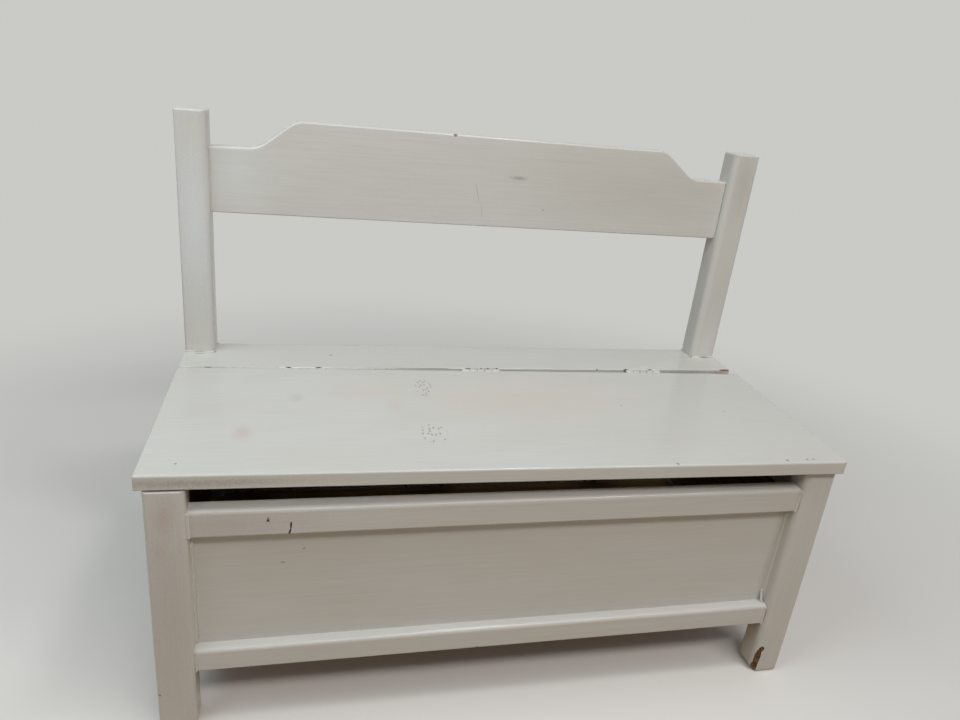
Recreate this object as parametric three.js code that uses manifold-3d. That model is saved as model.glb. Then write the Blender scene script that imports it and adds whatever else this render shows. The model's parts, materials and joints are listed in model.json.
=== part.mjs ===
// Child's painted storage bench: a framed box on four legs, a hinged seat lid and a backrest board.
// Millimetres. X runs along the seat to the right, Y to the back and Z up from the floor.
// The pieces are laid out with Y zero at the front faces of the front legs, and the last lines
// move the whole bench so that its origin is the bottom centre of its bounding box.

import * as THREE from 'three';
import { mergeVertices } from 'three/addons/utils/BufferGeometryUtils.js';
import Module from 'manifold-3d';

const wasm = await Module();
wasm.setup();

// Clearances
const fitGap = 0.3;
const cutOverrun = 6;

// Overall sizes
const lidLength = 740;
const benchDepth = 330.5;
const seatHeight = 306;
const postHeight = 596;

// Seat lid, one board, fitted a little out of square with the frame
const lidRearGap = 1.5;
const seatBoardThickness = 16;
const lidTurnSetback = 8.5;
const lidRightOverhang = 5;
const lidEndOverhang = 5.5;
const lidCornerRadius = 5;
const seatArris = 3;

// Front legs
const legWidth = 38;
const legDepth = 30;
const legArris = 3.5;
const legTopGap = 1;

// Back posts, which run from the floor to the top of the backrest
const postWidth = 36;
const postDepth = 32;
const postEndInset = 4;
const postArris = 4;

// The arris round the ends of a leg or post, as a share of the one along its length
const endArrisShare = 0.86;

// Rails between the legs and posts
const railThickness = 18;
const railSetback = 5.5;
const tallTopRailHeight = 54.7;
const frontTopRailHeight = 30;
const bottomRailBottomHeight = 72;
const bottomRailHeight = 27;
const railFrontArris = 4;
const railArris = 1.5;

// Panels, which lie in rebates of the rails and in grooves of the legs and posts
const panelThickness = 6;
const panelTongue = 7;

// Rear seat strip, fixed, which the lid is hinged to
const stripDepth = 78.5;
const stripCornerRadius = 4;

// Backrest board between the posts, with raised middle
const backrestThickness = 18;
const backrestSetback = 9.5;
const backrestDrop = 114.5;
const backrestEndHeight = 76.5;
const backrestCrestRise = 33.5;
const shoulderLength = 54;
const slopeRun = 43;
const slopeFootTangent = 10;
const slopeHeadTangent = 8;
const backrestArris = 2;

// Tenons on the ends of the rails and of the backrest board. The setback is from the rail's outer
// face, and the shoulder is what is cut away above and below.
const tenonThickness = 6;
const tenonLength = 15;
const tenonRoot = 2;
const railTenonSetback = 3;
const railTenonShoulder = 4;
const backrestTenonShoulder = 12;

// Bottom of the box
const cleatSize = 15;
const cleatLift = 0.5;
const bottomBoardThickness = 6;
const cleatScrewReachShare = 0.7;
const sideCleatScrewShare = 0.5;

// Countersunk wood screws
const cleatScrew = { headRadius: 3.4, shankRadius: 1.7, headHeight: 1.7, tipHeight: 3.4, length: 25 };
const stripScrew = { headRadius: 3.8, shankRadius: 2, headHeight: 2, tipHeight: 3.8, length: 45 };
const hingeScrew = { headRadius: 2.6, shankRadius: 1.3, headHeight: 1.3, tipHeight: 2.6, length: 16 };
const stripScrewBite = 12;

// Places of the strip's screws, as shares of the way from the middle to the posts, and of the
// thickness of the back rail
const stripScrewShares = { left: -0.7, middle: 0, right: 0.7 };
const stripScrewDepthShare = 0.4;

// Butt hinges, with the barrel up at the top of the joint between lid and strip
const hingeLength = 50;
const hingeBarrelRadius = 4;
const hingePinRadius = 2;
const hingeLeafThickness = 1.5;
const hingeLeafWidth = 12;
const hingeKnuckleCount = 5;
const hingeBarrelProud = 0.5;
const hingeScrewSpacing = 30;
const hingeScrewDrop = 8;

// Middles of the hinges, as shares of the lid's length from the middle of the bench
const hingeCentreShares = { left: -0.2986, middle: 0.0027, right: 0.3122 };

// Steps of round forms
const barrelSides = 12;
const screwSides = 8;

// Levels and faces that follow from the sizes above
const lidUnderside = seatHeight - seatBoardThickness;
const railSeat = lidUnderside - fitGap;
const legTop = lidUnderside - legTopGap;
const topRailBottomHeight = railSeat - tallTopRailHeight;
const legOuterX = lidLength / 2 - lidEndOverhang;
const legInnerX = legOuterX - legWidth;
const postOuterX = lidLength / 2 - postEndInset;
const postInnerX = postOuterX - postWidth;
const postFrontY = benchDepth - postDepth;
const stripFrontY = benchDepth - stripDepth;
const lidDepth = stripFrontY - lidRearGap - lidTurnSetback + lidRightOverhang;
const frontRailBackY = railSetback + railThickness;
const sideRailOuterX = legOuterX - railSetback;
const sideRailInnerX = sideRailOuterX - railThickness;
const backRailOuterY = benchDepth - railSetback;
const backRailInnerY = backRailOuterY - railThickness;
const bottomRailTop = bottomRailBottomHeight + bottomRailHeight;
const backrestFrontY = postFrontY + backrestSetback;
const backrestBottomHeight = postHeight - backrestDrop;
const hingeAxisY = stripFrontY - fitGap - hingeBarrelRadius;
const hingeAxisZ = seatHeight + hingeBarrelProud - hingeBarrelRadius;
const cleatBottom = bottomRailBottomHeight + cleatLift;
const bottomBoardUnderside = cleatBottom + cleatSize + fitGap;

// Finishes
const paintedWood = new THREE.MeshStandardMaterial({ color: 0xd9d9d2, roughness: 0.45, metalness: 0 });
const bareWood = new THREE.MeshStandardMaterial({ color: 0xc7a57a, roughness: 0.8, metalness: 0 });
const plywood = new THREE.MeshStandardMaterial({ color: 0xb9935f, roughness: 0.85, metalness: 0 });
const paintedSteel = new THREE.MeshStandardMaterial({ color: 0xd2d2cb, roughness: 0.4, metalness: 0.3 });
const steel = new THREE.MeshStandardMaterial({ color: 0x9a9a98, roughness: 0.35, metalness: 1 });

const bench = new THREE.Group();
const sides = [['left', -1], ['right', 1]];

// Solids

function toSolid(geometry) {
  const bare = geometry.clone();
  bare.deleteAttribute('normal');
  bare.deleteAttribute('uv');
  const merged = mergeVertices(bare);
  const triVerts = new Uint32Array(merged.index.array);
  const vertProperties = new Float32Array(merged.attributes.position.array);
  return new wasm.Manifold(new wasm.Mesh({ numProp: 3, vertProperties, triVerts }));
}

function toGeometry(solid) {
  const mesh = solid.getMesh();
  const geometry = new THREE.BufferGeometry();
  geometry.setAttribute('position', new THREE.BufferAttribute(new Float32Array(mesh.vertProperties), 3));
  geometry.setIndex(new THREE.BufferAttribute(new Uint32Array(mesh.triVerts), 1));
  geometry.computeVertexNormals();
  return geometry;
}

function carve(blank, cuts) {
  let solid = toSolid(blank);
  for (const cut of cuts) {
    solid = solid.subtract(toSolid(cut));
  }
  return toGeometry(solid);
}

function fuse(geometries) {
  let solid = toSolid(geometries[0]);
  for (const geometry of geometries.slice(1)) {
    solid = solid.add(toSolid(geometry));
  }
  return toGeometry(solid);
}

// Puts a piece in the bench. Its joins and cuts are given in the bench's frame.
function addPiece(name, material, blank, at, { turn = 0, joins = [], cuts = [] } = {}) {
  const mesh = new THREE.Mesh(blank, material);
  mesh.name = name;
  mesh.position.set(...at);
  mesh.rotation.z = turn;
  mesh.updateMatrix();
  const toPiece = mesh.matrix.clone().invert();
  const brought = (geometry) => geometry.clone().applyMatrix4(toPiece);
  if (joins.length + cuts.length > 0) {
    mesh.geometry = carve(fuse([blank, ...joins.map(brought)]), cuts.map(brought));
  }
  bench.add(mesh);
}

// A block between two corners
function block(low, high) {
  const size = high.map((value, i) => value - low[i]);
  const geometry = new THREE.BoxGeometry(...size);
  return geometry.translate(...low.map((value, i) => value + size[i] / 2));
}

// A rectangle with its lower left corner at zero. The radii go lower left, lower right,
// upper right, upper left.
function roundedRectangle(width, height, radii) {
  const corners = [[0, 0], [width, 0], [width, height], [0, height]];
  const shape = new THREE.Shape();
  corners.forEach(([x, y], i) => {
    const radius = radii[i];
    const centreX = x === 0 ? radius : x - radius;
    const centreY = y === 0 ? radius : y - radius;
    const start = Math.PI + i * Math.PI / 2;
    shape.absarc(centreX, centreY, radius, start, start + Math.PI / 2);
  });
  return shape;
}

// A prism on the floor plane with its ends rounded over
function standingBar(shape, height, endArris) {
  const geometry = new THREE.ExtrudeGeometry(shape, {
    depth: height - 2 * endArris,
    bevelThickness: endArris,
    bevelSize: endArris,
    bevelOffset: -endArris,
    bevelSegments: 2,
    curveSegments: 1,
  });
  return geometry.translate(0, 0, endArris);
}

// A rail blank from its own lower front left corner. Its section is drawn looking along the rail
// from its left end: across is the thickness from the outer face, up is the height.
function railBlank(length, height) {
  const radii = [railArris, railArris, railArris, railFrontArris];
  const section = roundedRectangle(railThickness, height, radii);
  return new THREE.ExtrudeGeometry(section, { depth: length, bevelEnabled: false, curveSegments: 1 });
}

// Turns a blank extruded along its own Z, with up along its own Y, to run along the bench's X
// with its outer face to the front
function alongSeat(blank) {
  return blank.rotateX(Math.PI / 2).rotateZ(Math.PI / 2);
}

// A rod centred on zero
function rodAlongX(radius, length, steps) {
  return new THREE.CylinderGeometry(radius, radius, length, steps).rotateZ(Math.PI / 2);
}

// A screw with the top of its head at zero, pointing along +Y
function screwBody(screw) {
  const points = [
    new THREE.Vector2(0, screw.length),
    new THREE.Vector2(screw.shankRadius, screw.length - screw.tipHeight),
    new THREE.Vector2(screw.shankRadius, screw.headHeight),
    new THREE.Vector2(screw.headRadius, 0),
    new THREE.Vector2(0, 0),
  ];
  return new THREE.LatheGeometry(points.reverse(), screwSides);
}

// The hole that a screw sits in, open at the head's side
function screwHole(screw, entry) {
  const points = [
    new THREE.Vector2(0, -entry),
    new THREE.Vector2(screw.headRadius + fitGap, -entry),
    new THREE.Vector2(screw.headRadius + fitGap, 0),
    new THREE.Vector2(screw.shankRadius + fitGap, screw.headHeight),
    new THREE.Vector2(screw.shankRadius + fitGap, screw.length + fitGap),
    new THREE.Vector2(0, screw.length + fitGap),
  ];
  return new THREE.LatheGeometry(points, screwSides);
}

function widened(low, high, gap) {
  return block(low.map((value) => value - gap), high.map((value) => value + gap));
}

function sorted(from, to) {
  const low = from.map((value, i) => Math.min(value, to[i]));
  const high = from.map((value, i) => Math.max(value, to[i]));
  return [low, high];
}

// Tenons, each as the two corners of its block. A tenon along the seat enters a leg or post through
// its inner face, and a tenon from front to back enters through the face at faceY.

function seatTenon(side, faceX, [lowY, highY], [lowZ, highZ]) {
  return sorted([side * (faceX - tenonRoot), lowY, lowZ], [side * (faceX + tenonLength), highY, highZ]);
}

function depthTenon(side, faceY, towards, [lowZ, highZ]) {
  const outer = side * (sideRailOuterX - railTenonSetback);
  const inner = side * (sideRailOuterX - railTenonSetback - tenonThickness);
  return sorted([outer, faceY - towards * tenonRoot, lowZ], [inner, faceY + towards * tenonLength, highZ]);
}

const shouldered = (bottom, height, shoulder) => [bottom + shoulder, bottom + height - shoulder];
const frontTopSpan = shouldered(topRailBottomHeight, frontTopRailHeight, railTenonShoulder);
const tallTopSpan = shouldered(topRailBottomHeight, tallTopRailHeight, railTenonShoulder);
const bottomSpan = shouldered(bottomRailBottomHeight, bottomRailHeight, railTenonShoulder);
const backrestSpan = shouldered(backrestBottomHeight, backrestEndHeight, backrestTenonShoulder);

const frontTenonY = railSetback + railTenonSetback;
const backTenonY = backRailOuterY - railTenonSetback - tenonThickness;
const backrestTenonY = backrestFrontY + (backrestThickness - tenonThickness) / 2;
const tenonDepth = (lowY) => [lowY, lowY + tenonThickness];

const seatTenons = (faceX, lowY, span) =>
  sides.map(([, side]) => seatTenon(side, faceX, tenonDepth(lowY), span));
const frontTopTenons = seatTenons(legInnerX, frontTenonY, frontTopSpan);
const frontBottomTenons = seatTenons(legInnerX, frontTenonY, bottomSpan);
const backTopTenons = seatTenons(postInnerX, backTenonY, tallTopSpan);
const backBottomTenons = seatTenons(postInnerX, backTenonY, bottomSpan);
const backrestTenons = seatTenons(postInnerX, backrestTenonY, backrestSpan);

function sideTenons(side, span) {
  return [depthTenon(side, legDepth, -1, span), depthTenon(side, postFrontY, 1, span)];
}

const tenonBlocks = (tenons) => tenons.map(([low, high]) => block(low, high));
const mortises = (tenons) => tenons.map(([low, high]) => widened(low, high, fitGap));

// Panels: each lies flush with the inner faces of its rails and recessed from their outer faces

const panelBottom = bottomRailTop - panelTongue;
const panelTop = topRailBottomHeight + panelTongue;
const frontPanelY = frontRailBackY - panelThickness;

const frontPanelLow = [-legInnerX - panelTongue, frontPanelY, panelBottom];
const frontPanelHigh = [legInnerX + panelTongue, frontRailBackY, panelTop];
const backPanelLow = [-postInnerX - panelTongue, backRailInnerY, panelBottom];
const backPanelHigh = [postInnerX + panelTongue, backRailInnerY + panelThickness, panelTop];
const frontPanelSeat = widened(frontPanelLow, frontPanelHigh, fitGap);
const backPanelSeat = widened(backPanelLow, backPanelHigh, fitGap);

function sidePanelCorners(side) {
  const inner = [side * sideRailInnerX, legDepth - panelTongue, panelBottom];
  const outer = [side * (sideRailInnerX + panelThickness), postFrontY + panelTongue, panelTop];
  return sorted(inner, outer);
}

function sidePanelSeat(side) {
  return widened(...sidePanelCorners(side), fitGap);
}

// Front legs
for (const [name, side] of sides) {
  const section = roundedRectangle(legWidth, legDepth, [legArris, legArris, legArris, legArris]);
  const lowX = side < 0 ? -legOuterX : legInnerX;
  const tenons = [...frontTopTenons, ...frontBottomTenons];
  tenons.push(...sideTenons(side, tallTopSpan), ...sideTenons(side, bottomSpan));
  const cuts = [frontPanelSeat, sidePanelSeat(side), ...mortises(tenons)];
  const blank = standingBar(section, legTop, legArris * endArrisShare);
  addPiece(`front_leg_${name}`, paintedWood, blank, [lowX, 0, 0], { cuts });
}

// Back posts
for (const [name, side] of sides) {
  const section = roundedRectangle(postWidth, postDepth, [postArris, postArris, postArris, postArris]);
  const lowX = side < 0 ? -postOuterX : postInnerX;
  const tenons = [...backTopTenons, ...backBottomTenons, ...backrestTenons];
  tenons.push(...sideTenons(side, tallTopSpan), ...sideTenons(side, bottomSpan));
  const cuts = [backPanelSeat, sidePanelSeat(side), ...mortises(tenons)];
  const blank = standingBar(section, postHeight, postArris * endArrisShare);
  addPiece(`back_post_${name}`, paintedWood, blank, [lowX, postFrontY, 0], { cuts });
}

// Bottom cleats, screwed to the insides of the bottom rails
const cleatHalfLength = legInnerX - fitGap;
const frontCleatY = frontRailBackY + fitGap;
const backCleatY = backRailInnerY - fitGap - cleatSize;
const sideCleatFrontY = frontCleatY + cleatSize + fitGap;
const sideCleatBackY = backCleatY - fitGap;
const sideCleatInnerX = sideRailInnerX - fitGap - cleatSize;
const cleatTop = cleatBottom + cleatSize;
const cleatScrewZ = cleatBottom + cleatSize / 2;
const cleatScrewX = cleatHalfLength * cleatScrewReachShare;
const sideCleatScrewY = THREE.MathUtils.lerp(sideCleatFrontY, sideCleatBackY, sideCleatScrewShare);

function placeScrew(geometry, { at, turn }) {
  return geometry.rotateZ(turn).translate(...at);
}

const cleatScrewPlaces = Object.fromEntries(sides.flatMap(([name, side]) => [
  [`front_${name}`, { at: [side * cleatScrewX, frontCleatY + cleatSize, cleatScrewZ], turn: Math.PI }],
  [`back_${name}`, { at: [side * cleatScrewX, backCleatY, cleatScrewZ], turn: 0 }],
  [name, { at: [side * sideCleatInnerX, sideCleatScrewY, cleatScrewZ], turn: -side * Math.PI / 2 }],
]));
const cleatScrewHoles = Object.values(cleatScrewPlaces).map((place) =>
  placeScrew(screwHole(cleatScrew, cutOverrun), place));

// Front rails and panel. The finger gap lies between the top rail and the lid.
const frontRailLength = 2 * (legInnerX - fitGap);
const frontRails = [
  ['front_top_rail', topRailBottomHeight, frontTopRailHeight, frontTopTenons, []],
  ['front_bottom_rail', bottomRailBottomHeight, bottomRailHeight, frontBottomTenons, cleatScrewHoles],
];
for (const [name, bottom, height, tenons, holes] of frontRails) {
  const blank = alongSeat(railBlank(frontRailLength, height));
  const at = [-frontRailLength / 2, railSetback, bottom];
  addPiece(name, paintedWood, blank, at, { joins: tenonBlocks(tenons), cuts: [frontPanelSeat, ...holes] });
}
addPiece('front_panel', paintedWood, block(frontPanelLow, frontPanelHigh), [0, 0, 0]);

// Side rails and panels
const sideRailLength = postFrontY - legDepth - 2 * fitGap;
for (const [name, side] of sides) {
  const rails = [
    ['side_top_rail', topRailBottomHeight, tallTopRailHeight, tallTopSpan, []],
    ['side_bottom_rail', bottomRailBottomHeight, bottomRailHeight, bottomSpan, cleatScrewHoles],
  ];
  const startY = side < 0 ? postFrontY - fitGap : legDepth + fitGap;
  for (const [kind, bottom, height, span, holes] of rails) {
    const blank = alongSeat(railBlank(sideRailLength, height));
    const joins = tenonBlocks(sideTenons(side, span));
    const cuts = [sidePanelSeat(side), ...holes];
    const at = [side * sideRailOuterX, startY, bottom];
    addPiece(`${kind}_${name}`, paintedWood, blank, at, { turn: side * Math.PI / 2, joins, cuts });
  }
  addPiece(`side_panel_${name}`, paintedWood, block(...sidePanelCorners(side)), [0, 0, 0]);
}

// Back rails and panel. Screws go up through the top rail into the seat strip.
const backRailLength = 2 * (postInnerX - fitGap);
const stripScrewY = backRailInnerY + railThickness * stripScrewDepthShare;
const stripScrewHeadZ = lidUnderside + stripScrewBite - stripScrew.length;

function standScrew(geometry, share) {
  return geometry.rotateX(Math.PI / 2).translate(share * postInnerX, stripScrewY, stripScrewHeadZ);
}

const stripScrewEntry = stripScrewHeadZ - topRailBottomHeight + cutOverrun;
const stripScrewHoles = Object.values(stripScrewShares).map((share) =>
  standScrew(screwHole(stripScrew, stripScrewEntry), share));
const backRails = [
  ['back_top_rail', topRailBottomHeight, tallTopRailHeight, backTopTenons, stripScrewHoles],
  ['back_bottom_rail', bottomRailBottomHeight, bottomRailHeight, backBottomTenons, cleatScrewHoles],
];
for (const [name, bottom, height, tenons, holes] of backRails) {
  const blank = alongSeat(railBlank(backRailLength, height));
  const joins = tenonBlocks(tenons);
  const cuts = [backPanelSeat, ...holes];
  const at = [backRailLength / 2, backRailOuterY, bottom];
  addPiece(name, paintedWood, blank, at, { turn: Math.PI, joins, cuts });
}
addPiece('back_panel', paintedWood, block(backPanelLow, backPanelHigh), [0, 0, 0]);

// Cleats, each as the two corners of its block

function longCleat(lowY) {
  return [[-cleatHalfLength, lowY, cleatBottom], [cleatHalfLength, lowY + cleatSize, cleatTop]];
}

function sideCleat(side) {
  const inner = [side * sideCleatInnerX, sideCleatFrontY, cleatBottom];
  const outer = [side * (sideCleatInnerX + cleatSize), sideCleatBackY, cleatTop];
  return sorted(inner, outer);
}

const cleats = {
  cleat_front: longCleat(frontCleatY),
  cleat_back: longCleat(backCleatY),
  cleat_left: sideCleat(-1),
  cleat_right: sideCleat(1),
};
for (const [name, corners] of Object.entries(cleats)) {
  addPiece(name, bareWood, block(...corners), [0, 0, 0], { cuts: cleatScrewHoles });
}
for (const [name, place] of Object.entries(cleatScrewPlaces)) {
  const blank = screwBody(cleatScrew).rotateZ(place.turn);
  addPiece(`cleat_screw_${name}`, steel, blank, place.at);
}

// Bottom board, notched round the legs and posts
const bottomBoardTop = bottomBoardUnderside + bottomBoardThickness;
const bottomLow = [-sideRailInnerX + fitGap, frontRailBackY + fitGap, bottomBoardUnderside];
const bottomHigh = [sideRailInnerX - fitGap, backRailInnerY - fitGap, bottomBoardTop];
const bottomNotches = sides.flatMap(([, side]) => {
  const legNotch = sorted([side * (legInnerX - fitGap), -cutOverrun, 0],
    [side * legOuterX, legDepth + fitGap, lidUnderside]);
  const postNotch = sorted([side * (postInnerX - fitGap), postFrontY - fitGap, 0],
    [side * postOuterX, benchDepth, lidUnderside]);
  return [block(...legNotch), block(...postNotch)];
});
addPiece('bottom_board', plywood, block(bottomLow, bottomHigh), [0, 0, 0], { cuts: bottomNotches });

// Backrest board
const backrestHalfLength = postInnerX - fitGap;
const backrestOutline = new THREE.Shape();
const slopeFootX = postInnerX - shoulderLength;
const crestHalfLength = slopeFootX - slopeRun;
const slopeLength = Math.hypot(slopeRun, backrestCrestRise);
const along = { x: slopeRun / slopeLength, z: backrestCrestRise / slopeLength };
const crestTop = backrestEndHeight + backrestCrestRise;
const footEndX = slopeFootX - slopeFootTangent * along.x;
const footEndZ = backrestEndHeight + slopeFootTangent * along.z;
const headStartX = crestHalfLength + slopeHeadTangent * along.x;
const headStartZ = crestTop - slopeHeadTangent * along.z;
const flatHalfLength = crestHalfLength - slopeHeadTangent;
const footStartX = slopeFootX + slopeFootTangent;
backrestOutline.moveTo(-backrestHalfLength, 0);
backrestOutline.lineTo(backrestHalfLength, 0);
backrestOutline.lineTo(backrestHalfLength, backrestEndHeight);
backrestOutline.lineTo(footStartX, backrestEndHeight);
backrestOutline.quadraticCurveTo(slopeFootX, backrestEndHeight, footEndX, footEndZ);
backrestOutline.lineTo(headStartX, headStartZ);
backrestOutline.quadraticCurveTo(crestHalfLength, crestTop, flatHalfLength, crestTop);
backrestOutline.lineTo(-flatHalfLength, crestTop);
backrestOutline.quadraticCurveTo(-crestHalfLength, crestTop, -headStartX, headStartZ);
backrestOutline.lineTo(-footEndX, footEndZ);
backrestOutline.quadraticCurveTo(-slopeFootX, backrestEndHeight, -footStartX, backrestEndHeight);
backrestOutline.lineTo(-backrestHalfLength, backrestEndHeight);
backrestOutline.closePath();
const backrestBlank = new THREE.ExtrudeGeometry(backrestOutline, {
  depth: backrestThickness - 2 * backrestArris,
  bevelThickness: backrestArris,
  bevelSize: backrestArris,
  bevelOffset: -backrestArris,
  bevelSegments: 1,
  curveSegments: 4,
});
backrestBlank.rotateX(Math.PI / 2);
addPiece('backrest_board', paintedWood, backrestBlank,
  [0, backrestFrontY + backrestThickness - backrestArris, backrestBottomHeight],
  { joins: tenonBlocks(backrestTenons) });

// Hinges: where each screw stands, and the holes that it needs in the leaf and the wood.
// The leaf side is 1 for the leaf on the strip and -1 for the leaf on the lid.

const hingeCentres = Object.values(hingeCentreShares).map((share) => share * lidLength);

function hingeScrewPlaces(centre, leafSide) {
  const faceY = hingeAxisY + leafSide * (hingeBarrelRadius - hingeLeafThickness);
  const turn = leafSide > 0 ? 0 : Math.PI;
  const z = hingeAxisZ - hingeScrewDrop;
  return sides.map(([, step]) => ({ at: [centre + step * hingeScrewSpacing / 2, faceY, z], turn }));
}

function hingeScrewHoles(leafSide) {
  const places = hingeCentres.flatMap((centre) => hingeScrewPlaces(centre, leafSide));
  return places.map((place) => placeScrew(screwHole(hingeScrew, hingeLeafThickness), place));
}

// Seat strip, notched round the posts
const stripRadii = [stripCornerRadius, stripCornerRadius, stripCornerRadius, stripCornerRadius];
const stripOutline = roundedRectangle(2 * postOuterX, stripDepth, stripRadii);
const stripBlank = standingBar(stripOutline, seatBoardThickness, seatArris);
const stripNotches = sides.map(([, side]) => {
  const inner = [side * (postInnerX - fitGap), postFrontY - fitGap, 0];
  const outer = [side * (postOuterX + cutOverrun), benchDepth + cutOverrun, postHeight];
  return block(...sorted(inner, outer));
});
addPiece('seat_strip', paintedWood, stripBlank, [-postOuterX, stripFrontY, lidUnderside],
  { cuts: [...stripNotches, ...stripScrewHoles, ...hingeScrewHoles(1)] });
for (const [name, share] of Object.entries(stripScrewShares)) {
  addPiece(`seat_strip_screw_${name}`, steel, standScrew(screwBody(stripScrew), share), [0, 0, 0]);
}

// Lid, turned a little about its middle and cut away round the hinges
const lidTurn = -Math.asin(lidTurnSetback / lidLength);
const lidCentreY = lidTurnSetback / 2 - lidRightOverhang + lidDepth / 2;
const lidRadii = [lidCornerRadius, lidCornerRadius, lidCornerRadius, lidCornerRadius];
const lidBlank = standingBar(roundedRectangle(lidLength, lidDepth, lidRadii), seatBoardThickness, seatArris);
lidBlank.translate(-lidLength / 2, -lidDepth / 2, 0);
const hingeNotches = hingeCentres.map((centre) => {
  const reach = hingeLength / 2 + fitGap;
  const floorY = hingeAxisY - hingeBarrelRadius - fitGap;
  const low = [centre - reach, floorY, lidUnderside - cutOverrun];
  return block(low, [centre + reach, stripFrontY + cutOverrun, seatHeight + cutOverrun]);
});
addPiece('lid', paintedWood, lidBlank, [0, lidCentreY, lidUnderside],
  { turn: lidTurn, cuts: [...hingeNotches, ...hingeScrewHoles(-1)] });

// Hinge leaves. The leaf on the strip has the odd knuckles and the leaf on the lid the even ones.

const knuckleLength = hingeLength / hingeKnuckleCount;

function knuckleMiddle(index) {
  return (index + 0.5) * knuckleLength - hingeLength / 2;
}

function hingeLeaf(leafSide) {
  const plateFaces = [leafSide * (hingeBarrelRadius - hingeLeafThickness), leafSide * hingeBarrelRadius];
  const low = [-hingeLength / 2, Math.min(...plateFaces), -hingeLeafWidth];
  const high = [hingeLength / 2, Math.max(...plateFaces), 0];
  const own = leafSide > 0 ? 0 : 1;
  const parts = [block(low, high)];
  const cuts = [rodAlongX(hingePinRadius + fitGap, hingeLength + cutOverrun, barrelSides)];
  for (let index = 0; index < hingeKnuckleCount; index += 1) {
    const middle = knuckleMiddle(index);
    if (index % 2 === own) {
      parts.push(rodAlongX(hingeBarrelRadius, knuckleLength - fitGap, barrelSides).translate(middle, 0, 0));
    } else {
      const clear = rodAlongX(hingeBarrelRadius + fitGap, knuckleLength + fitGap, barrelSides);
      cuts.push(clear.translate(middle, 0, 0));
    }
  }
  return carve(fuse(parts), cuts);
}

const leafSides = [['strip', 1], ['lid', -1]];
Object.keys(hingeCentreShares).forEach((name, place) => {
  const centre = hingeCentres[place];
  const at = [centre, hingeAxisY, hingeAxisZ];
  for (const [board, leafSide] of leafSides) {
    const cuts = hingeScrewHoles(leafSide);
    addPiece(`hinge_${name}_${board}_leaf`, paintedSteel, hingeLeaf(leafSide), at, { cuts });
    hingeScrewPlaces(centre, leafSide).forEach((screwPlace, i) => {
      const screw = screwBody(hingeScrew).rotateZ(screwPlace.turn);
      addPiece(`hinge_${name}_${board}_screw_${i + 1}`, steel, screw, screwPlace.at);
    });
  }
  addPiece(`hinge_${name}_pin`, steel, rodAlongX(hingePinRadius, hingeLength, barrelSides), at);
});

// The origin goes to the bottom centre of the bounding box
bench.updateMatrixWorld(true);
const bounds = new THREE.Box3().setFromObject(bench, true);
const middle = bounds.getCenter(new THREE.Vector3());
bench.position.set(-middle.x, -middle.y, -bounds.min.z);
bench.updateMatrixWorld(true);

export default bench;
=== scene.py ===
# %% [markdown]
# # A child's painted storage bench
# The bench is a framed box on four legs. Its seat is a hinged lid, and two tall back posts carry a
# shaped backrest board. Everything is softwood under a hand-brushed coat of off-white satin paint.
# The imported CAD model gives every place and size. Here each board is modelled again with its real
# arrises, small wobbles, chips and paint, and stands where its CAD node stands.

# %% Load the frame
import json
import math
import random

import bpy
from mathutils import Matrix, Vector, noise

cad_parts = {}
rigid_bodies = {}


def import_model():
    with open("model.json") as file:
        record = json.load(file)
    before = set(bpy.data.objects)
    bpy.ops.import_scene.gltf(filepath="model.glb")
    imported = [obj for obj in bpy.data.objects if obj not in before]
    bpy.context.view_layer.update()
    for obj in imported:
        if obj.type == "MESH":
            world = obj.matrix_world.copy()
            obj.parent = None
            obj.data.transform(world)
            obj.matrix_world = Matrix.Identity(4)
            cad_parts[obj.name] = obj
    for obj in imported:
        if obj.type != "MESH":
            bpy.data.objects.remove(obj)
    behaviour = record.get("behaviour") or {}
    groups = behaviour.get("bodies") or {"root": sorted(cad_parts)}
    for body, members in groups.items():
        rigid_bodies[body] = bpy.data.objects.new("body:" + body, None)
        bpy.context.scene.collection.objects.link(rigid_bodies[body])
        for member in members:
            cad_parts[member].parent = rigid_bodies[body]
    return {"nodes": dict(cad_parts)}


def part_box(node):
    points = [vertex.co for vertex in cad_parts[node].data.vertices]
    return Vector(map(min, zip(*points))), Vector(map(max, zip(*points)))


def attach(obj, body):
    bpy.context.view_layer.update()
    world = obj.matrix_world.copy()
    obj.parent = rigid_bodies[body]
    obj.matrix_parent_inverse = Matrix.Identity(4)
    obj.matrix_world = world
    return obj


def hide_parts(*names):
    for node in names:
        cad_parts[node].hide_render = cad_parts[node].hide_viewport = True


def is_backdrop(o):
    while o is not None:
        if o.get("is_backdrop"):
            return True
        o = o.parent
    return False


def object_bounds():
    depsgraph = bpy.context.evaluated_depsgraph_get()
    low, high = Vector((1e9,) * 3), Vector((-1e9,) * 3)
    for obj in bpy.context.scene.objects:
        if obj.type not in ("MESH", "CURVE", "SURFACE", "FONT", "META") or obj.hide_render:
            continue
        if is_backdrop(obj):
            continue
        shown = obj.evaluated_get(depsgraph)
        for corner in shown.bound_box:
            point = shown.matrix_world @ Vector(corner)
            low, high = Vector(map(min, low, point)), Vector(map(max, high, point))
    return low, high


bpy.ops.object.select_all(action="SELECT")
bpy.ops.object.delete()
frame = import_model()
cad_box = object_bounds()
MM = 0.001
FRAME = "frame"
LID = "seat_lid"

# %% [markdown]
# ## Camera
# The photograph was taken by hand from a little above the bench, looking down and tilted. A camera
# that is fitted to the corners of the bench gives the same view. Its turn is built from three plain
# rotations: roll about its own axis, then pitch, then yaw about the vertical.

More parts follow.
